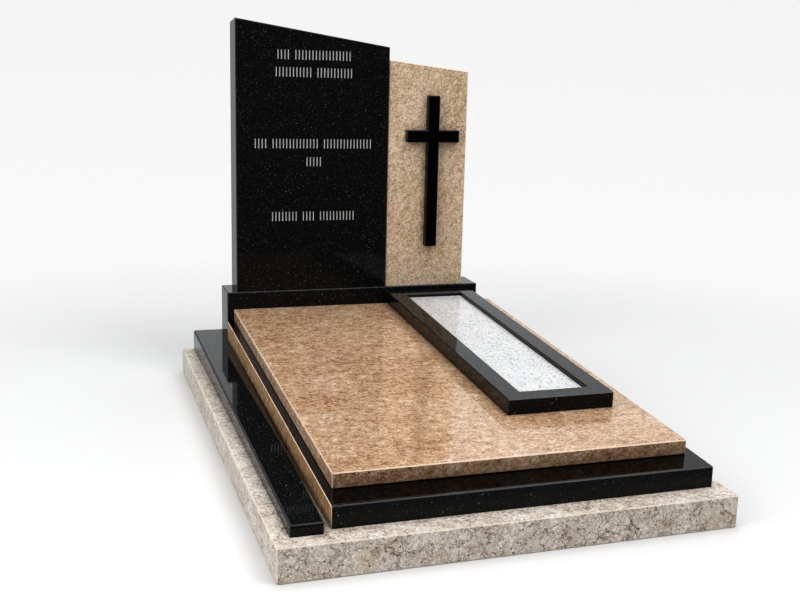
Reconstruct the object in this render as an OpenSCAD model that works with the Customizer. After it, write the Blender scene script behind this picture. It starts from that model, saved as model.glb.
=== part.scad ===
// Granite grave monument: base slab, kerbs, sloping ledger with a framed bed,
// and a two-part headstone with a Latin cross.
// X runs to the right, Y runs back to the headstone, Z is up.
// The origin is on the ground, under the middle of the base slab.

/* [Base slab] */
// Width of the base slab
base_w = 1200; // [1060:10:1500]
// Depth of the base slab, front to back
base_d = 1780; // [1400:10:2400]
// Thickness of the base slab
base_h = 88; // [50:1:150]

/* [Low side kerb] */
// Distance from the left edge of the base slab to the low kerb
low_kerb_inset = 40; // [10:1:80]
// Width of the low kerb at its front end
low_kerb_w = 80; // [40:1:120]
// Height of the low kerb at its front end
low_kerb_front_h = 30; // [20:1:60]
// Height of the low kerb at its back end
low_kerb_back_h = 70; // [20:1:110]
// Distance from the front edge of the base slab to the low kerb
low_kerb_front_inset = 50; // [10:1:120]
// Polished bevel along the outer top edge of the low kerb
low_kerb_bevel = 5; // [1:0.5:10]
// Open gap between the low kerb and the tan side plate at the front, closing to nothing at the plinth
kerb_gap = 22; // [5:1:60]

/* [Kerb body] */
// Height of the kerb body at its front face
body_front_h = 57; // [40:1:120]
// Fall of the shelf and the ledger towards the front, in degrees
fall = 2.7; // [0:0.1:4]
// Distance from the front edge of the base slab to the kerb body
body_front_inset = 72; // [20:1:150]
// Distance from the right edge of the base slab to the kerb body
body_right_inset = 36; // [10:1:100]
// Thickness of the plates round the kerb body
plate_t = 30; // [20:1:50]
// Thickness of the shelf slab let in between the plates
shelf_t = 20; // [10:1:30]

/* [Ledger] */
// Thickness of the ledger
ledger_t = 42; // [20:1:80]
// Shelf left showing in front of the ledger
ledger_front_margin = 90; // [20:1:200]
// Shelf left showing beside the ledger on the left
ledger_left_margin = 22; // [5:1:60]
// Shelf left showing beside the ledger on the right
ledger_right_margin = 32; // [5:1:60]

/* [Bed on the ledger] */
// Outside width of the bed frame
bed_w = 326; // [200:1:400]
// Shelf of ledger left to the right of the bed frame
bed_right_margin = 82; // [10:1:150]
// Ledger left showing in front of the bed frame
bed_front_margin = 272; // [50:1:500]
// Height of the bed frame above the ledger
bed_h = 47; // [30:1:80]
// Width of each bar of the bed frame
bed_bar = 58; // [30:1:80]
// Depth of the white infill below the top of the frame
infill_recess = 12; // [7:1:25]
// Joint between the infill and the frame, on each side
infill_joint = 1; // [0.5:0.1:3]

/* [Headstone] */
// Depth of the plinth, front to back
plinth_d = 138; // [125:1:200]
// Distance from the back edge of the base slab to the plinth and the low kerb
back_inset = 10; // [0:1:60]
// Height of the plinth above the base slab
plinth_h = 234; // [200:1:320]
// Distance from the right face of the kerb body in to the end of the plinth
plinth_right_inset = 84; // [0:1:120]
// Plinth left showing beside the dark stele on the left
stele_left_margin = 34; // [10:1:80]
// Width of the dark stele
dark_stele_w = 545; // [350:1:560]
// Height of the dark stele at its left side
dark_stele_left_h = 945; // [700:1:1300]
// Height of the dark stele at its right side
dark_stele_right_h = 865; // [700:1:1300]
// Thickness of the dark stele
dark_stele_t = 115; // [60:1:118]
// Width of the tan stele
tan_stele_w = 300; // [240:1:320]
// Height of the tan stele at its left side
tan_stele_left_h = 822; // [700:1:1100]
// Height of the tan stele at its right side
tan_stele_right_h = 788; // [700:1:1100]
// Thickness of the tan stele
tan_stele_t = 105; // [50:1:112]
// Distance from the plinth front back to the dark stele
dark_stele_setback = 4; // [0:1:7]
// Distance from the plinth front back to the tan stele
tan_stele_setback = 9; // [0:1:12]
// Fall of the stele tops towards the back
weathering = 15; // [0:1:30]

/* [Cross] */
// Height of the cross
cross_h = 550; // [300:1:600]
// Width across the arms of the cross
cross_w = 199; // [120:1:230]
// Width of the post and of the arms
cross_bar = 44; // [20:1:60]
// Distance that the cross stands proud of the tan stele
cross_t = 25; // [8:1:50]
// Height of the foot of the cross above the plinth
cross_foot = 150; // [50:1:190]
// Distance from the top of the cross down to the arms
cross_head = 124; // [60:1:180]
// Offset of the cross to the right of the middle of the tan stele
cross_offset = 15; // [-25:1:30]

/* [Arrises] */
// Leg of the small chamfer on every exposed edge
arris = 3; // [1:0.5:5]

/* [Hidden] */

// Reach of the cutting tools past the stone
reach = 50;
// Edges of the base slab
base_left = -base_w / 2;
base_right = base_w / 2;
base_front = -base_d / 2;
base_back = base_d / 2;
// Low kerb
low_kerb_x = base_left + low_kerb_inset;
low_kerb_y = base_front + low_kerb_front_inset;
// Kerb body
body_left = low_kerb_x + low_kerb_w + kerb_gap;
body_right = base_right - body_right_inset;
body_w = body_right - body_left;
body_front = base_front + body_front_inset;
plinth_back = base_back - back_inset;
plinth_front = plinth_back - plinth_d;
body_d = plinth_front - body_front;
body_back_h = body_front_h + body_d * tan(fall);
// Length of the sloping pieces, long enough to be cut off at the plinth
slope_l = body_d / cos(fall) + reach;
// Ledger, along the slope
ledger_x = body_left + ledger_left_margin;
ledger_w = body_w - ledger_left_margin - ledger_right_margin;
// Bed frame, along the slope
bed_x = ledger_x + ledger_w - bed_right_margin - bed_w;
bed_y = ledger_front_margin + bed_front_margin;
bed_back_y = body_d / cos(fall) - (ledger_t + bed_h) * tan(fall) - bed_bar;
bed_open_w = bed_w - 2 * bed_bar;
bed_open_d = bed_back_y - bed_y - bed_bar;
// Headstone
plinth_w = body_w - plinth_right_inset;
plinth_top = base_h + plinth_h;
dark_stele_x = body_left + stele_left_margin;
dark_stele_y = plinth_front + dark_stele_setback;
tan_stele_x = dark_stele_x + dark_stele_w;
tan_stele_y = plinth_front + tan_stele_setback;
// Cross
cross_x = tan_stele_x + tan_stele_w / 2 + cross_offset;
cross_z = plinth_top + cross_foot;
arms_z = cross_z + cross_h - cross_head - cross_bar;

// Colours of the stones
beige_granite = "#cfc4b6";
black_granite = "#1b1c1e";
tan_granite = "#b98f6c";
pale_tan_granite = "#cdb197";
white_granite = "#e9e9e7";

// Rectangle with its four corners cut off by c
module cut_rectangle(w, h, c) {
    polygon([[c, 0], [w - c, 0], [w, c], [w, h - c], [w - c, h], [c, h], [0, h - c], [0, c]]);
}

// Block with all twelve edges chamfered by c
module arrised_block(size, c) {
    intersection() {
        linear_extrude(size[2]) cut_rectangle(size[0], size[1], c);
        translate([0, size[1], 0]) rotate([90, 0, 0])
            linear_extrude(size[1]) cut_rectangle(size[0], size[2], c);
        rotate([90, 0, 90]) linear_extrude(size[0]) cut_rectangle(size[1], size[2], c);
    }
}

// Cutting prism that runs along X and takes a chamfer of leg c off the edge it lies on
module edge_cutter(length, c) {
    side = c * sqrt(2);
    rotate([45, 0, 0]) translate([0, -side / 2, -side / 2]) cube([length, side, side]);
}

// Puts its children in the sloping frame: the origin on the front top edge of the
// kerb body, Y up the slope, Z square to the shelf
module on_slope() {
    translate([0, body_front, base_h + body_front_h]) rotate([fall, 0, 0]) children();
}

// Keeps what lies in front of the plinth
module before_plinth() {
    intersection() {
        children();
        translate([base_left, base_front - reach, 0])
            cube([base_w, plinth_front - base_front + reach, plinth_top + reach]);
    }
}

module base_slab() {
    color(beige_granite) translate([base_left, base_front, 0])
        arrised_block([base_w, base_d, base_h], arris);
}

// Low kerb on the left, lower at the front and wider at the back, where it meets the plinth;
// bevelled along its outer top edge
module low_side_kerb() {
    length = plinth_back - low_kerb_y;
    to_plinth = plinth_front - low_kerb_y;
    back_w = low_kerb_w + kerb_gap;
    slope = atan2(low_kerb_back_h - low_kerb_front_h, length);
    flare = atan2(kerb_gap, to_plinth);
    footprint = [[0, 0], [low_kerb_w, 0], [back_w, to_plinth], [back_w, length], [0, length]];
    color(black_granite) translate([low_kerb_x, low_kerb_y, base_h]) difference() {
        linear_extrude(low_kerb_back_h) polygon(footprint);
        // sloping top
        translate([-reach, 0, low_kerb_front_h]) rotate([slope, 0, 0])
            translate([0, -reach, 0]) cube([back_w + 2 * reach, length + 3 * reach, low_kerb_back_h]);
        // outer and inner top edges
        translate([0, -reach, low_kerb_front_h - reach * tan(slope)]) rotate([slope, 0, 0])
            rotate([0, 0, 90]) edge_cutter(length + 3 * reach, low_kerb_bevel);
        translate([low_kerb_w, 0, low_kerb_front_h]) rotate([0, 0, -flare]) rotate([slope, 0, 0])
            translate([0, -reach, 0]) rotate([0, 0, 90]) edge_cutter(to_plinth + reach, arris);
        // front and back top edges
        translate([-reach, 0, low_kerb_front_h]) edge_cutter(back_w + 2 * reach, arris);
        translate([-reach, length, low_kerb_back_h]) edge_cutter(back_w + 2 * reach, arris);
        // front upright edges
        for (x = [0, low_kerb_w])
            translate([x, 0, -reach]) rotate([0, -90, 0])
                edge_cutter(low_kerb_back_h + 2 * reach, arris);
    }
}

// Outside of the kerb body: a wedge with its exposed edges chamfered
module body_wedge() {
    profile = [[body_front, base_h], [plinth_front, base_h],
               [plinth_front, base_h + body_back_h], [body_front, base_h + body_front_h]];
    difference() {
        translate([body_left, 0, 0]) rotate([90, 0, 90]) linear_extrude(body_w) polygon(profile);
        on_slope() for (x = [body_left, body_right])
            translate([x, -reach, 0]) rotate([0, 0, 90]) edge_cutter(slope_l + 2 * reach, arris);
        translate([body_left - reach, body_front, base_h + body_front_h])
            edge_cutter(body_w + 2 * reach, arris);
        for (x = [body_left, body_right])
            translate([x, body_front, base_h - reach]) rotate([0, -90, 0])
                edge_cutter(body_front_h + 2 * reach, arris);
    }
}

// Space of the shelf slab: mitred at 45 degrees to the front and side plates
module shelf_space() {
    on_slope() intersection() {
        translate([body_left, slope_l, -shelf_t]) rotate([90, 0, 0]) linear_extrude(slope_l + reach)
            polygon([[shelf_t, 0], [body_w - shelf_t, 0], [body_w + reach, shelf_t + reach],
                     [-reach, shelf_t + reach]]);
        translate([body_left - reach, 0, -shelf_t]) rotate([90, 0, 90])
            linear_extrude(body_w + 2 * reach)
                polygon([[shelf_t, 0], [slope_l, 0], [slope_l, shelf_t + reach],
                         [-reach, shelf_t + reach]]);
    }
}

// One plate of the kerb body, standing on the footprint given
module body_plate(footprint) {
    difference() {
        intersection() {
            body_wedge();
            translate([0, 0, base_h]) linear_extrude(body_back_h + reach) polygon(footprint);
        }
        shelf_space();
    }
}

module tan_side_plate() {
    color(tan_granite) body_plate([[body_left, body_front], [body_left + plate_t, body_front + plate_t],
                                   [body_left + plate_t, plinth_front], [body_left, plinth_front]]);
}

module front_plate() {
    color(black_granite) body_plate([[body_left, body_front], [body_right, body_front],
                                     [body_right - plate_t, body_front + plate_t],
                                     [body_left + plate_t, body_front + plate_t]]);
}

module right_plate() {
    color(black_granite) body_plate([[body_right, body_front], [body_right, plinth_front],
                                     [body_right - plate_t, plinth_front],
                                     [body_right - plate_t, body_front + plate_t]]);
}

module shelf_slab() {
    color(black_granite) intersection() {
        body_wedge();
        shelf_space();
    }
}

module ledger() {
    color(tan_granite) before_plinth() on_slope() translate([ledger_x, ledger_front_margin, 0])
        arrised_block([ledger_w, slope_l, ledger_t], arris);
}

// Rim of the bed, one stone with the opening cut through it
module bed_frame() {
    open_x = bed_x + bed_bar;
    open_y = bed_y + bed_bar;
    top = ledger_t + bed_h;
    color(black_granite) before_plinth() on_slope() difference() {
        translate([bed_x, bed_y, ledger_t]) arrised_block([bed_w, slope_l, bed_h], arris);
        translate([open_x, open_y, ledger_t - reach]) cube([bed_open_w, bed_open_d, bed_h + 2 * reach]);
        for (y = [open_y, open_y + bed_open_d])
            translate([open_x, y, top]) edge_cutter(bed_open_w, arris);
        for (x = [open_x, open_x + bed_open_w])
            translate([x, open_y, top]) rotate([0, 0, 90]) edge_cutter(bed_open_d, arris);
    }
}

module bed_infill() {
    color(white_granite) on_slope()
        translate([bed_x + bed_bar + infill_joint, bed_y + bed_bar + infill_joint, ledger_t])
            cube([bed_open_w - 2 * infill_joint, bed_open_d - 2 * infill_joint, bed_h - infill_recess]);
}

module headstone_plinth() {
    color(black_granite) translate([body_left, plinth_front, base_h])
        arrised_block([plinth_w, plinth_d, plinth_h], arris);
}

// Upright slab whose top falls to one side and to the back
module stele(w, left_h, right_h, t) {
    side_slope = atan2(left_h - right_h, w);
    back_slope = atan2(weathering, t);
    long_top = w / cos(side_slope) + 2 * reach;
    difference() {
        cube([w, t, left_h + reach]);
        // sloping top
        translate([0, 0, left_h]) rotate([0, side_slope, 0]) rotate([-back_slope, 0, 0])
            translate([-reach, -reach, 0]) cube([long_top, t + 2 * reach, left_h - right_h + 2 * reach]);
        // front top edge
        translate([0, 0, left_h]) rotate([0, side_slope, 0]) translate([-reach, 0, 0])
            edge_cutter(long_top, arris);
        // upright edges
        for (x = [0, w], y = [0, t])
            translate([x, y, -reach]) rotate([0, -90, 0]) edge_cutter(left_h + 2 * reach, arris);
    }
}

module dark_stele() {
    color(black_granite) translate([dark_stele_x, dark_stele_y, plinth_top])
        stele(dark_stele_w, dark_stele_left_h, dark_stele_right_h, dark_stele_t);
}

module tan_stele() {
    color(pale_tan_granite) translate([tan_stele_x, tan_stele_y, plinth_top])
        stele(tan_stele_w, tan_stele_left_h, tan_stele_right_h, tan_stele_t);
}

module latin_cross() {
    color(black_granite) {
        translate([cross_x - cross_bar / 2, tan_stele_y - cross_t, cross_z])
            arrised_block([cross_bar, cross_t, cross_h], arris);
        translate([cross_x - cross_w / 2, tan_stele_y - cross_t, arms_z])
            arrised_block([cross_w, cross_t, cross_bar], arris);
    }
}

base_slab();
low_side_kerb();
tan_side_plate();
front_plate();
right_plate();
shelf_slab();
ledger();
bed_frame();
bed_infill();
headstone_plinth();
dark_stele();
tan_stele();
latin_cross();
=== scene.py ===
import math

import bmesh
import bpy
from mathutils import Matrix, Vector


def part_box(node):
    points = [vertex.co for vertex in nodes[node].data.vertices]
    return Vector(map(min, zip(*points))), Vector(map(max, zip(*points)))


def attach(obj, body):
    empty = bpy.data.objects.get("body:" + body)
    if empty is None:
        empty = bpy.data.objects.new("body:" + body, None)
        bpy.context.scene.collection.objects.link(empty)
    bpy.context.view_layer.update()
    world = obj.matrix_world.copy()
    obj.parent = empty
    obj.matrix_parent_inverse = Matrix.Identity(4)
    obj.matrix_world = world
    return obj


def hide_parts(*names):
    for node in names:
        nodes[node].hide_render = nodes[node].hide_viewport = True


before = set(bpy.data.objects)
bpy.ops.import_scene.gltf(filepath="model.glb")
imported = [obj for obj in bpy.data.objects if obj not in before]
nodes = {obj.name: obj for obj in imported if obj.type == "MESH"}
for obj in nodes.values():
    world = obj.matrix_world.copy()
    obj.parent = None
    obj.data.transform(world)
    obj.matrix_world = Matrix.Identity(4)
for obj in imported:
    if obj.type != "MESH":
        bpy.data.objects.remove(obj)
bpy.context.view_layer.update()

MM = 0.001
POLISHED_RELIEF = 0.03 * MM
HONED_RELIEF = 0.05 * MM
PAINT_RELIEF = 0.1 * MM

# The faces of a chamfer look along no axis more than this
BROAD_FACE = 0.93


# ---------------------------------------------------------------- node recipes

class Recipe:
    """One material, put together node by node.

    Patterns read Object coordinates, in metres, so a scale is a number of grains, or of waves, per metre.
    """

    def __init__(self, name):
        self.material = bpy.data.materials.new(name)
        self.material.use_nodes = True
        self.tree = self.material.node_tree
        self.tree.nodes.clear()
        self.place = self.node("ShaderNodeTexCoord").outputs["Object"]

    def node(self, kind, **settings):
        made = self.tree.nodes.new(kind)
        for key, value in settings.items():
            setattr(made, key, value)
        return made

    def feed(self, socket, value):
        if isinstance(value, bpy.types.NodeSocket):
            self.tree.links.new(value, socket)
        else:
            socket.default_value = value

    def calc(self, operation, *values, clamp=False):
        made = self.node("ShaderNodeMath", operation=operation, use_clamp=clamp)
        for socket, value in zip(made.inputs, values):
            self.feed(socket, value)
        return made.outputs[0]

    def blend(self, amount, first, second, mode="MIX"):
        made = self.node("ShaderNodeMix", data_type="RGBA", blend_type=mode)
        self.feed(made.inputs[0], amount)
        self.feed(made.inputs[6], first)
        self.feed(made.inputs[7], second)
        return made.outputs[2]

    def span(self, value, low, high, to_low=0.0, to_high=1.0, smooth=False):
        """Maps low..high onto to_low..to_high, held at the ends."""
        made = self.node("ShaderNodeMapRange", clamp=True)
        if smooth:
            made.interpolation_type = "SMOOTHSTEP"
        for socket, number in zip(made.inputs, (value, low, high, to_low, to_high)):
            self.feed(socket, number)
        return made.outputs[0]

    def tones(self, value, *stops):
        """Colour ramp of (position, (r, g, b)) stops."""
        made = self.node("ShaderNodeValToRGB")
        points = made.color_ramp.elements
        while len(points) < len(stops):
            points.new(0.5)
        for point, (position, colour) in zip(points, stops):
            point.position = position
            point.color = (*colour, 1.0)
        self.feed(made.inputs[0], value)
        return made.outputs[0]

    def noise(self, scale, detail=2.0, roughness=0.5, where=None, colour=False):
        made = self.node("ShaderNodeTexNoise")
        self.feed(made.inputs["Vector"], where or self.place)
        self.feed(made.inputs["Scale"], scale)
        self.feed(made.inputs["Detail"], detail)
        self.feed(made.inputs["Roughness"], roughness)
        return made.outputs[1 if colour else 0]

    def grains(self, scale, where=None, feature="F1", outlet="Color"):
        """Voronoi grains: a random colour for each, or the distance to its middle or edge."""
        made = self.node("ShaderNodeTexVoronoi", feature=feature)
        self.feed(made.inputs["Vector"], where or self.place)
        self.feed(made.inputs["Scale"], scale)
        return made.outputs[outlet]

    def channels(self, colour):
        made = self.node("ShaderNodeSeparateColor")
        self.feed(made.inputs[0], colour)
        return made.outputs[0], made.outputs[1], made.outputs[2]

    def bent(self, amount, scale, detail=2.0, where=None):
        """Coordinates pushed about by a noise, so that grains and veins wander."""
        where = where or self.place
        push = self.node("ShaderNodeVectorMath", operation="MULTIPLY_ADD")
        self.feed(push.inputs[0], self.noise(scale, detail, where=where, colour=True))
        self.feed(push.inputs[1], (amount, amount, amount))
        self.feed(push.inputs[2], where)
        return push.outputs[0]

    def stretched(self, size=(1.0, 1.0, 1.0), turn=(0.0, 0.0, 0.0), where=None):
        """Coordinates that make grains so many times as long along each axis, after a turn."""
        made = self.node("ShaderNodeMapping", vector_type="TEXTURE")
        self.feed(made.inputs["Vector"], where or self.place)
        self.feed(made.inputs["Rotation"], turn)
        self.feed(made.inputs["Scale"], size)
        return made.outputs[0]

    def arris(self):
        """1 on the narrow chamfers, which face no axis squarely, and 0 on the broad faces."""
        normal = self.node("ShaderNodeNewGeometry").outputs["True Normal"]
        size = self.node("ShaderNodeVectorMath", operation="ABSOLUTE")
        self.feed(size.inputs[0], normal)
        parts = self.node("ShaderNodeSeparateXYZ")
        self.feed(parts.inputs[0], size.outputs[0])
        x, y, z = parts.outputs
        return self.calc("LESS_THAN", self.calc("MAXIMUM", self.calc("MAXIMUM", x, y), z), BROAD_FACE)

    def grey(self, value):
        """The same value in all three colour channels."""
        made = self.node("ShaderNodeCombineColor")
        for socket in made.inputs[:3]:
            self.feed(socket, value)
        return made.outputs[0]

    def mottle(self, colour, value, low, high):
        """The colour made darker or lighter, from low to high, by a value of 0 to 1."""
        return self.blend(1.0, colour, self.grey(self.span(value, 0.0, 1.0, low, high)), "MULTIPLY")

    def dots(self, scale, over, where, small=0.15, large=0.42):
        """Crisp mineral dots: 1 inside some of the grains, with sizes that differ, and 0 between."""
        present, size, _ = self.channels(self.grains(scale, where))
        edge = self.calc("SUBTRACT", self.span(size, 0.0, 1.0, small, large),
                         self.grains(scale, where, outlet="Distance"))
        chosen = self.calc("GREATER_THAN", present, over)
        return self.calc("MULTIPLY", chosen, self.span(edge, -0.04, 0.04))

    def threads(self, scale, width, where, gaps, detail=3.0):
        """Thin broken lines that run through the stone, 1 along the middle of each."""
        wave = self.noise(scale, detail, 0.6, where)
        line = self.span(self.calc("ABSOLUTE", self.calc("SUBTRACT", wave, 0.5)), 0.0, width, 1.0, 0.0)
        kept = self.span(self.noise(scale * 0.7, 2, where=where), gaps, gaps + 0.08)
        return self.calc("MULTIPLY", line, kept)

    def edge_wear_and_highlight(self, colour, tone, amount=0.75):
        """A lighter tone on the chamfers: partly wear where the polish breaks, partly a painted highlight
        along the arrises.
        """
        return self.blend(self.calc("MULTIPLY", self.arris(), amount), colour, (*tone, 1))

    def bump(self, height, distance, strength=1.0):
        made = self.node("ShaderNodeBump")
        self.feed(made.inputs["Strength"], strength)
        self.feed(made.inputs["Distance"], distance)
        self.feed(made.inputs["Height"], height)
        return made.outputs[0]

    def finish(self, colour, roughness, normal=None, specular=0.5, ior=1.5):
        shader = self.node("ShaderNodeBsdfPrincipled")
        self.feed(shader.inputs["Base Color"], colour)
        self.feed(shader.inputs["Roughness"], roughness)
        shader.inputs["IOR"].default_value = ior
        shader.inputs["Specular IOR Level"].default_value = specular
        if normal is not None:
            self.feed(shader.inputs["Normal"], normal)
        out = self.node("ShaderNodeOutputMaterial")
        self.feed(out.inputs["Surface"], shader.outputs[0])
        return self.material


# ---------------------------------------------------------------- stones

# Crystals of the black stone: scale, share of the grains left out, and brightness from low to high
BLACK_CRYSTALS = ((340, 0.78, 0.03, 0.08), (300, 0.925, 0.07, 0.2), (240, 0.99, 0.2, 0.42))

# Threads of the golden stone: scale, width, how broken they are, and strength
TAN_THREADS = ((30, 0.014, 0.47, 0.85), (70, 0.03, 0.48, 0.75), (150, 0.06, 0.5, 0.6))
TAN_FLECK_SCALES = (120, 210)

# Tones of the beige stone, and its net of veins: scale, width, strength, and how broken they are
BEIGE_TONES = ((0.05, (0.4, 0.335, 0.265)), (0.3, (0.56, 0.495, 0.425)), (0.6, (0.65, 0.595, 0.535)),
               (1.0, (0.81, 0.775, 0.735)))
BEIGE_VEINS = ((13, 0.022, 0.8, 0.49), (30, 0.04, 0.75, 0.53))
BEIGE_VEIN_TONE = (0.15, 0.085, 0.045, 1)

# Threads as above, and dots: scale, share of the grains left out, and tone
BEIGE_THREADS = ((10, 0.008, 0.42, 0.85), (22, 0.016, 0.45, 0.85), (60, 0.03, 0.5, 0.75))
BEIGE_THREAD_TONE = (0.17, 0.105, 0.06, 1)
BEIGE_DOTS = ((95, 0.85, (0.16, 0.1, 0.05)), (140, 0.84, (0.06, 0.04, 0.028)),
              (230, 0.84, (0.07, 0.048, 0.035)))

# Dots of the white stone: scale, share of the grains left out, tone and strength
WHITE_DOTS = ((240, 0.5, 0.36, 0.7), (190, 0.66, 0.2, 0.75), (170, 0.82, 0.05, 0.9))


def black_granite(name, ground=1.0, sparkle=1.0, polish=0.03):
    """Fine black granite, polished: a near-black ground full of small silver and greenish crystals."""
    stone = Recipe(name)
    grain = stone.noise(420, 3, 0.7)
    colour = stone.tones(grain, (0.3, [ground * tone for tone in (0.006, 0.0066, 0.0066)]),
                         (0.7, [ground * tone for tone in (0.019, 0.02, 0.0195)]))
    place = stone.bent(0.0015, 400)
    for scale, over, low, high in BLACK_CRYSTALS:
        tint = stone.channels(stone.grains(scale, place))[1]
        crystal = stone.tones(tint, (0.0, [low * sparkle * tone for tone in (0.9, 1.0, 0.96)]),
                              (1.0, [high * sparkle * tone for tone in (0.88, 0.96, 1.0)]))
        colour = stone.blend(stone.dots(scale, over, place), colour, crystal)
    # Chamfers lightened: wear, and a painted highlight along the arrises
    colour = stone.edge_wear_and_highlight(colour, (0.05, 0.053, 0.055), 0.6)
    rough = stone.calc("ADD", stone.span(stone.noise(14, 3, 0.6), 0.2, 0.8, polish, polish * 1.6 + 0.01),
                       stone.calc("MULTIPLY", stone.arris(), 0.16))
    return stone.finish(colour, rough, stone.bump(stone.noise(120, 2), POLISHED_RELIEF, 0.3), 0.25)


def tan_granite(name, minerals, fleck_tone, edge, bed, grain=1.0, flecks=0.91, spread=0.26, polish=0.05):
    """Golden granite: small grains of several tones, brown threads, dark mica, soft drifts of colour."""
    stone = Recipe(name)
    lie = stone.stretched(*bed)
    flow = stone.noise(5, 4, 0.55, stone.bent(0.08, 4, 3, lie))
    drift = stone.noise(38 * grain, 5, 0.7, stone.bent(0.012, 30, 2, lie))
    crisp = stone.bent(0.0022, 260 * grain, 2, lie)
    chance, _, other = stone.channels(stone.grains(190 * grain, crisp))
    shift = stone.calc("ADD", stone.span(flow, 0.3, 0.7, -0.12, 0.12),
                       stone.span(drift, 0.3, 0.7, -spread, spread))
    pick = stone.calc("ADD", stone.span(chance, 0.0, 1.0, 0.3, 0.74), shift, clamp=True)
    colour = stone.tones(pick, *minerals)
    colour = stone.mottle(colour, stone.channels(stone.grains(420 * grain, crisp))[0], 0.86, 1.14)
    brown = [tone * 0.4 for tone in minerals[1][1]]
    for scale, width, gaps, amount in TAN_THREADS:
        thread = stone.threads(scale * grain, width, crisp, gaps)
        colour = stone.blend(stone.calc("MULTIPLY", thread, amount), colour, (*brown, 1))
    for scale in TAN_FLECK_SCALES:
        fleck = stone.dots(scale * grain, flecks, stone.bent(0.008, 160 * grain, 2, lie), 0.06, 0.34)
        colour = stone.blend(stone.calc("MULTIPLY", fleck, 0.85), colour, (*fleck_tone, 1))
    pale = stone.dots(170 * grain, 0.93, stone.bent(0.003, 220 * grain, 2, lie), 0.15, 0.4)
    colour = stone.blend(stone.calc("MULTIPLY", pale, 0.7), colour, (*minerals[-1][1], 1))
    # Chamfers lightened: wear, and a painted highlight along the arrises
    colour = stone.edge_wear_and_highlight(colour, edge)
    rough = stone.calc("ADD", stone.span(other, 0.0, 1.0, polish, polish + 0.04),
                       stone.calc("MULTIPLY", stone.arris(), 0.2))
    specular = 0.5 if polish < 0.2 else 0.2
    return stone.finish(colour, rough, stone.bump(stone.noise(140, 2), POLISHED_RELIEF, 0.3), specular)


def beige_granite():
    """Pale beige granite: a broken net of thin brown veins, yellowish patches, scattered dark grains."""
    stone = Recipe("honed_beige_granite")
    cloud = stone.noise(16, 5, 0.65, stone.bent(0.03, 9, 3))
    crisp = stone.bent(0.003, 220)
    chance, _, other = stone.channels(stone.grains(150, crisp))
    pick = stone.calc("ADD", stone.span(chance, 0.0, 1.0, 0.15, 0.6),
                      stone.span(cloud, 0.3, 0.7, -0.1, 0.35), clamp=True)
    colour = stone.tones(pick, *BEIGE_TONES)
    yellow = stone.span(stone.noise(9, 3, 0.6), 0.58, 0.72, 0.0, 0.35)
    colour = stone.blend(yellow, colour, (0.55, 0.43, 0.26, 1))
    colour = stone.mottle(colour, stone.channels(stone.grains(330, crisp))[0], 0.8, 1.18)
    veins_at = stone.bent(0.03, 30, 4, stone.bent(0.006, 150, 2))
    for scale, width, strength, reach in BEIGE_VEINS:
        edge = stone.grains(scale, veins_at, "DISTANCE_TO_EDGE", "Distance")
        line = stone.span(edge, 0.0, width, 1.0, 0.0)
        broken = stone.span(stone.noise(scale * 1.1, 3, 0.6), reach, reach + 0.06)
        vein = stone.calc("MULTIPLY", stone.calc("MULTIPLY", line, broken), strength)
        colour = stone.blend(vein, colour, BEIGE_VEIN_TONE)
    for scale, width, gaps, amount in BEIGE_THREADS:
        thread = stone.threads(scale, width, veins_at, gaps, 4)
        colour = stone.blend(stone.calc("MULTIPLY", thread, amount), colour, BEIGE_THREAD_TONE)
    for scale, over, tone in BEIGE_DOTS:
        dot = stone.dots(scale, over, stone.bent(0.008, 120, 3), 0.08, 0.3)
        colour = stone.blend(stone.calc("MULTIPLY", dot, 0.85), colour, (*tone, 1))
    # Chamfers lightened: wear, and a painted highlight along the arrises
    colour = stone.edge_wear_and_highlight(colour, (0.74, 0.66, 0.57), 0.6)
    rough = stone.calc("ADD", stone.span(other, 0.0, 1.0, 0.3, 0.38),
                       stone.calc("MULTIPLY", stone.arris(), 0.15))
    return stone.finish(colour, rough, stone.bump(stone.noise(160, 3), HONED_RELIEF, 0.4), 0.35, 1.3)


def white_granite():
    """White granite with fine grey and black grains."""
    stone = Recipe("fine_white_granite")
    colour = stone.tones(stone.noise(11, 3, 0.55), (0.35, (0.6, 0.6, 0.605)), (0.65, (0.66, 0.66, 0.66)))
    place = stone.bent(0.003, 260)
    colour = stone.mottle(colour, stone.channels(stone.grains(230, place))[1], 0.9, 1.1)
    for scale, over, tone, amount in WHITE_DOTS:
        dot = stone.dots(scale, over, place, 0.18, 0.5)
        colour = stone.blend(stone.calc("MULTIPLY", dot, amount), colour, (tone, tone, tone * 1.05, 1))
    rough = stone.span(stone.noise(30, 2), 0.3, 0.7, 0.12, 0.2)
    return stone.finish(colour, rough, stone.bump(stone.noise(240, 3), HONED_RELIEF, 0.4), 0.35)


def mark_paint():
    """Matt off-white enamel laid into the cut marks."""
    paint = Recipe("off_white_enamel")
    patch = paint.noise(260, 3, 0.6)
    colour = paint.tones(patch, (0.3, (0.5, 0.51, 0.51)), (0.7, (0.72, 0.73, 0.73)))
    rough = paint.span(patch, 0.3, 0.7, 0.45, 0.65)
    return paint.finish(colour, rough, paint.bump(patch, PAINT_RELIEF, 0.5), 0.3)


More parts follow.
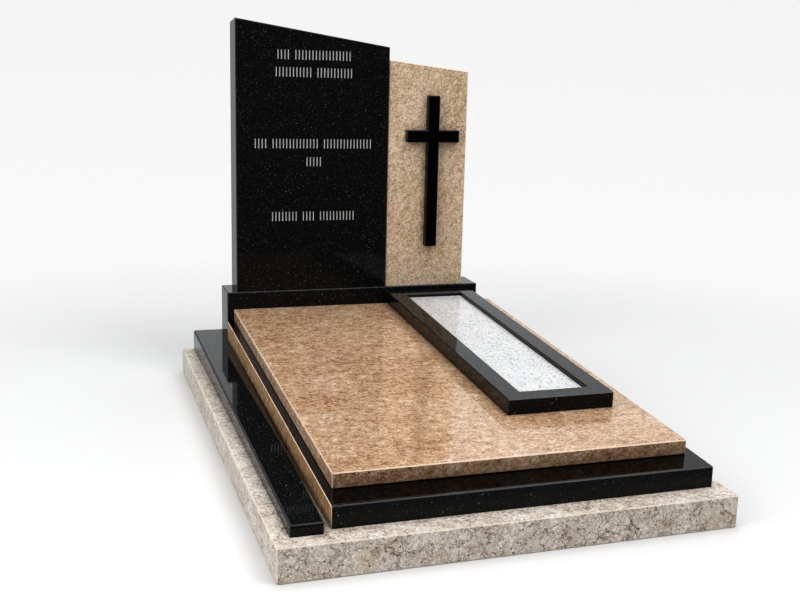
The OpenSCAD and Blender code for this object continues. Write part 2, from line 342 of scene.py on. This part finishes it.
BLACK = black_granite("polished_black_granite")
# A far darker black with dull crystals: used on the cross, and on the shelf slab as painted shade under
# the ledger
JET_BLACK_AND_PAINTED_SHADE = black_granite("polished_jet_black_granite_and_painted_shade", 0.2, 0.15)
HONED_BLACK = black_granite("honed_black_granite", 1.5, 0.8, 0.22)
GOLDEN = ((0.0, (0.17, 0.09, 0.045)), (0.25, (0.38, 0.232, 0.134)), (0.5, (0.54, 0.365, 0.235)),
          (0.75, (0.64, 0.47, 0.34)), (1.0, (0.8, 0.67, 0.56)))
TAN = tan_granite("polished_tan_granite", GOLDEN, (0.075, 0.04, 0.02), (0.7, 0.52, 0.38),
                  bed=((1.3, 1, 1), (0, 0, 0)), grain=1.15, flecks=0.9, spread=0.3)
# The ledger's golden tones made darker and browner for the side plate, the same stone: painted shade on
# its side face
GOLDEN_IN_PAINTED_SHADE = [(at, (red * 0.87, green * 0.84, blue * 0.74)) for at, (red, green, blue) in GOLDEN]
TAN_SIDE = tan_granite("honed_tan_granite", GOLDEN_IN_PAINTED_SHADE, (0.06, 0.032, 0.018), (0.85, 0.65, 0.48),
                       bed=((1, 1, 2.8), (0.5, 0, 0)), spread=0.3, polish=0.42)
PALE_TAN = tan_granite("polished_pale_tan_granite", (
    (0.0, (0.32, 0.205, 0.12)), (0.25, (0.57, 0.41, 0.265)), (0.5, (0.78, 0.6, 0.435)),
    (0.75, (0.88, 0.73, 0.575)), (1.0, (0.98, 0.9, 0.8))), (0.24, 0.15, 0.09), (0.87, 0.72, 0.58),
    bed=((1, 1, 1.7), (0, 0.7, 0)), grain=1.6, flecks=0.8, spread=0.24)
BEIGE = beige_granite()
WHITE = white_granite()
ENAMEL = mark_paint()

STONE_OF = {
    "base_slab": BEIGE, "low_side_kerb": BLACK, "tan_side_plate": TAN_SIDE,
    # The shelf slab takes the darkest black: painted shade in the strip under the ledger
    "front_plate": HONED_BLACK, "right_plate": HONED_BLACK, "shelf_slab": JET_BLACK_AND_PAINTED_SHADE,
    "ledger": TAN, "bed_frame": BLACK, "bed_infill": WHITE, "headstone_plinth": BLACK,
    "dark_stele": BLACK, "tan_stele": PALE_TAN, "latin_cross": JET_BLACK_AND_PAINTED_SHADE,
}
for name, stone in STONE_OF.items():
    for slot in nodes[name].material_slots:
        slot.material = stone


# ---------------------------------------------------------------- marks cut into the dark stele

# Rows of plain upright strokes: height of the row's middle above the foot of the stele, and
# the number of strokes in each group
MARK_ROWS = ((829, (4, 17)), (770, (11, 11)), (524, (4, 14, 15)), (461, (5,)), (268, (8, 4, 11)))
MARK_HEIGHT = 33 * MM
MARK_WIDTH = 4.4 * MM
MARK_DEPTH = 2.2 * MM
MARK_PITCH = 12 * MM
GROUP_GAP = 14 * MM
PROUD = 0.3 * MM

# The ridge behind a mark, as shares of its width, depth and height
RIDGE = (0.04, 1.0, 0.86)
WELD = 0.01 * MM


def mark_cutters(foot, middle_x, face_y):
    """Solid wedges, one for each mark: upright at the face and drawn in to a ridge behind it."""
    bm = bmesh.new()
    for height, groups in MARK_ROWS:
        row_width = (sum(groups) - 1) * MARK_PITCH + (len(groups) - 1) * GROUP_GAP
        x = middle_x - row_width / 2
        z = foot + height * MM
        for count in groups:
            for _ in range(count):
                middle = Vector((x, face_y + (MARK_DEPTH - PROUD) / 2, z))
                size = Matrix.Diagonal((MARK_WIDTH, MARK_DEPTH + PROUD, MARK_HEIGHT, 1))
                made = bmesh.ops.create_cube(bm, size=1.0, matrix=Matrix.Translation(middle) @ size)
                ridge = [v for v in made["verts"] if v.co.y > face_y]
                bmesh.ops.scale(bm, vec=RIDGE, space=Matrix.Translation(-middle), verts=ridge)
                x += MARK_PITCH
            x += GROUP_GAP
    for face in bm.faces:
        face.material_index = 1
    mesh = bpy.data.meshes.new("mark_cutters")
    bm.to_mesh(mesh)
    bm.free()
    return mesh


def cut_marks(node):
    """A copy of the stele with the marks cut into its front face and painted."""
    low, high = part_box(node)
    bm = bmesh.new()
    bm.from_mesh(nodes[node].data)
    bmesh.ops.remove_doubles(bm, verts=bm.verts, dist=WELD)
    mesh = bpy.data.meshes.new("carved_dark_stele")
    bm.to_mesh(mesh)
    bm.free()
    piece = bpy.data.objects.new("carved_dark_stele", mesh)
    tool = bpy.data.objects.new("mark_cutters", mark_cutters(low.z, (low.x + high.x) / 2, low.y))
    for thing in (piece, tool):
        bpy.context.scene.collection.objects.link(thing)
        thing.data.materials.append(BLACK)
        thing.data.materials.append(ENAMEL)
    cut = piece.modifiers.new("cut", "BOOLEAN")
    cut.operation = "DIFFERENCE"
    cut.solver = "EXACT"
    cut.object = tool
    carved = bpy.data.meshes.new_from_object(piece.evaluated_get(bpy.context.evaluated_depsgraph_get()))
    piece.modifiers.clear()
    piece.data = carved
    bpy.data.objects.remove(tool)
    return piece


stele = cut_marks("dark_stele")
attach(stele, "root")
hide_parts("dark_stele")


# ---------------------------------------------------------------- floor, light and camera

FLOOR_RADIUS = 6.2
FLOOR_NEAR, FLOOR_FAR = 0.9, 3.4
PAPER_LIT = (0.85, 0.85, 0.85, 1)
PAPER_SEEN = (0.7, 0.7, 0.7, 1)


def pale_floor():
    """Pale paper that gives way to the backdrop with distance."""
    floor = Recipe("pale_floor")
    reach = floor.node("ShaderNodeVectorMath", operation="LENGTH")
    floor.feed(reach.inputs[0], floor.place)
    fade = floor.span(reach.outputs["Value"], FLOOR_NEAR, FLOOR_FAR, smooth=True)
    paper = floor.node("ShaderNodeBsdfDiffuse")
    direct = floor.node("ShaderNodeLightPath").outputs["Is Camera Ray"]
    floor.feed(paper.inputs["Color"], floor.blend(direct, PAPER_LIT, PAPER_SEEN))
    clear = floor.node("ShaderNodeBsdfTransparent")
    both = floor.node("ShaderNodeMixShader")
    floor.feed(both.inputs[0], fade)
    floor.feed(both.inputs[1], paper.outputs[0])
    floor.feed(both.inputs[2], clear.outputs[0])
    out = floor.node("ShaderNodeOutputMaterial")
    floor.feed(out.inputs["Surface"], both.outputs[0])
    return floor.material


bm = bmesh.new()
bmesh.ops.create_circle(bm, cap_ends=True, segments=96, radius=FLOOR_RADIUS)
floor_mesh = bpy.data.meshes.new("studio_floor")
bm.to_mesh(floor_mesh)
bm.free()
studio_floor = bpy.data.objects.new("studio_floor", floor_mesh)
bpy.context.scene.collection.objects.link(studio_floor)
floor_mesh.materials.append(pale_floor())
studio_floor.visible_glossy = False

world = bpy.data.worlds.new("studio")
bpy.context.scene.world = world
world.use_nodes = True
tree = world.node_tree
tree.nodes.clear()


def world_node(kind, **settings):
    made = tree.nodes.new(kind)
    for key, value in settings.items():
        setattr(made, key, value)
    return made


direction = world_node("ShaderNodeTexCoord").outputs["Generated"]
parts = world_node("ShaderNodeSeparateXYZ")
tree.links.new(direction, parts.inputs[0])


# The studio by direction: dim to the front, dim to the left, and bright again at the far left
STUDIO_FADES = ((1, -0.75, 0.5, 0.1), (0, -0.4, 0.15, 0.34), (0, -0.75, -0.4, 3.4))
STUDIO_TINT = (0.985, 1.0, 1.02, 1)
STUDIO_STRENGTH = 0.7

# The backdrop seen by the camera: two heights of direction, and the brightness at each
BACKDROP_FADE = (-0.5, 0.1, 0.7, 0.635)


def fade_along(axis, low, high, to_low):
    """Full brightness past the high end of an axis of the studio, and to_low past the low end."""
    made = world_node("ShaderNodeMapRange", interpolation_type="SMOOTHSTEP")
    tree.links.new(parts.outputs[axis], made.inputs[0])
    for socket, number in zip(made.inputs[1:5], (low, high, to_low, 1.0)):
        socket.default_value = number
    return made.outputs[0]


brightness = fade_along(*STUDIO_FADES[0])
for fade in STUDIO_FADES[1:]:
    product = world_node("ShaderNodeMath", operation="MULTIPLY")
    tree.links.new(brightness, product.inputs[0])
    tree.links.new(fade_along(*fade), product.inputs[1])
    brightness = product.outputs[0]
cool = world_node("ShaderNodeMix", data_type="RGBA", blend_type="MULTIPLY")
cool.inputs[0].default_value = 1.0
tree.links.new(brightness, cool.inputs[6])
cool.inputs[7].default_value = STUDIO_TINT
sky = world_node("ShaderNodeBackground")
tree.links.new(cool.outputs[2], sky.inputs["Color"])
sky.inputs["Strength"].default_value = STUDIO_STRENGTH
backdrop = world_node("ShaderNodeBackground")
paper_fade = world_node("ShaderNodeMapRange")
tree.links.new(parts.outputs[2], paper_fade.inputs[0])
for socket, number in zip(paper_fade.inputs[1:5], BACKDROP_FADE):
    socket.default_value = number
tree.links.new(paper_fade.outputs[0], backdrop.inputs["Color"])
seen = world_node("ShaderNodeMixShader")
tree.links.new(world_node("ShaderNodeLightPath").outputs["Is Camera Ray"], seen.inputs[0])
tree.links.new(sky.outputs[0], seen.inputs[1])
tree.links.new(backdrop.outputs[0], seen.inputs[2])
tree.links.new(seen.outputs[0], world_node("ShaderNodeOutputWorld").inputs["Surface"])


def softbox(name, place, aim, size, power):
    """A rectangular studio lamp, aimed at a point."""
    data = bpy.data.lights.new(name, "AREA")
    data.shape = "RECTANGLE"
    data.size, data.size_y = size
    data.energy = power
    lamp = bpy.data.objects.new(name, data)
    lamp.location = place
    lamp.rotation_euler = (Vector(aim) - Vector(place)).to_track_quat("-Z", "Y").to_euler()
    bpy.context.scene.collection.objects.link(lamp)
    return lamp


softbox("key_softbox", (2.8, -3.4, 6.0), (0, 0, 0.2), (3.4, 3.4), 156)
softbox("top_softbox", (-0.4, 0.0, 6.0), (-0.2, 0.0, 0), (4.6, 4.6), 120)
softbox("left_softbox", (-4.5, -2.3, 3.1), (-0.6, -0.5, 0.1), (3.0, 3.0), 96)

SENSOR_WIDTH = 36
LENS = 51.62
SHIFT_X = -0.08
EYE = (-1.0562, -3.2501, 1.1845)
HEADING, TILT, ROLL = 20.445, -12.26, 2.037

camera_data = bpy.data.cameras.new("camera")
camera_data.sensor_width = SENSOR_WIDTH
camera_data.lens = LENS
camera_data.shift_x = SHIFT_X
camera = bpy.data.objects.new("camera", camera_data)
bpy.context.scene.collection.objects.link(camera)
heading, tilt, roll = math.radians(HEADING), math.radians(TILT), math.radians(ROLL)
ahead = Vector((math.sin(heading), math.cos(heading), 0))
right = Vector((math.cos(heading), -math.sin(heading), 0))
up = Vector((0, 0, 1)) * math.cos(tilt) - ahead * math.sin(tilt)
ahead = ahead * math.cos(tilt) + Vector((0, 0, 1)) * math.sin(tilt)
turned_right = right * math.cos(roll) + up * math.sin(roll)
turned_up = up * math.cos(roll) - right * math.sin(roll)
facing = Matrix((turned_right, turned_up, -ahead)).transposed().to_4x4()
camera.matrix_world = Matrix.Translation(EYE) @ facing
bpy.context.scene.camera = camera
bpy.context.scene.view_settings.view_transform = "Standard"
bpy.context.scene.view_settings.look = "High Contrast"
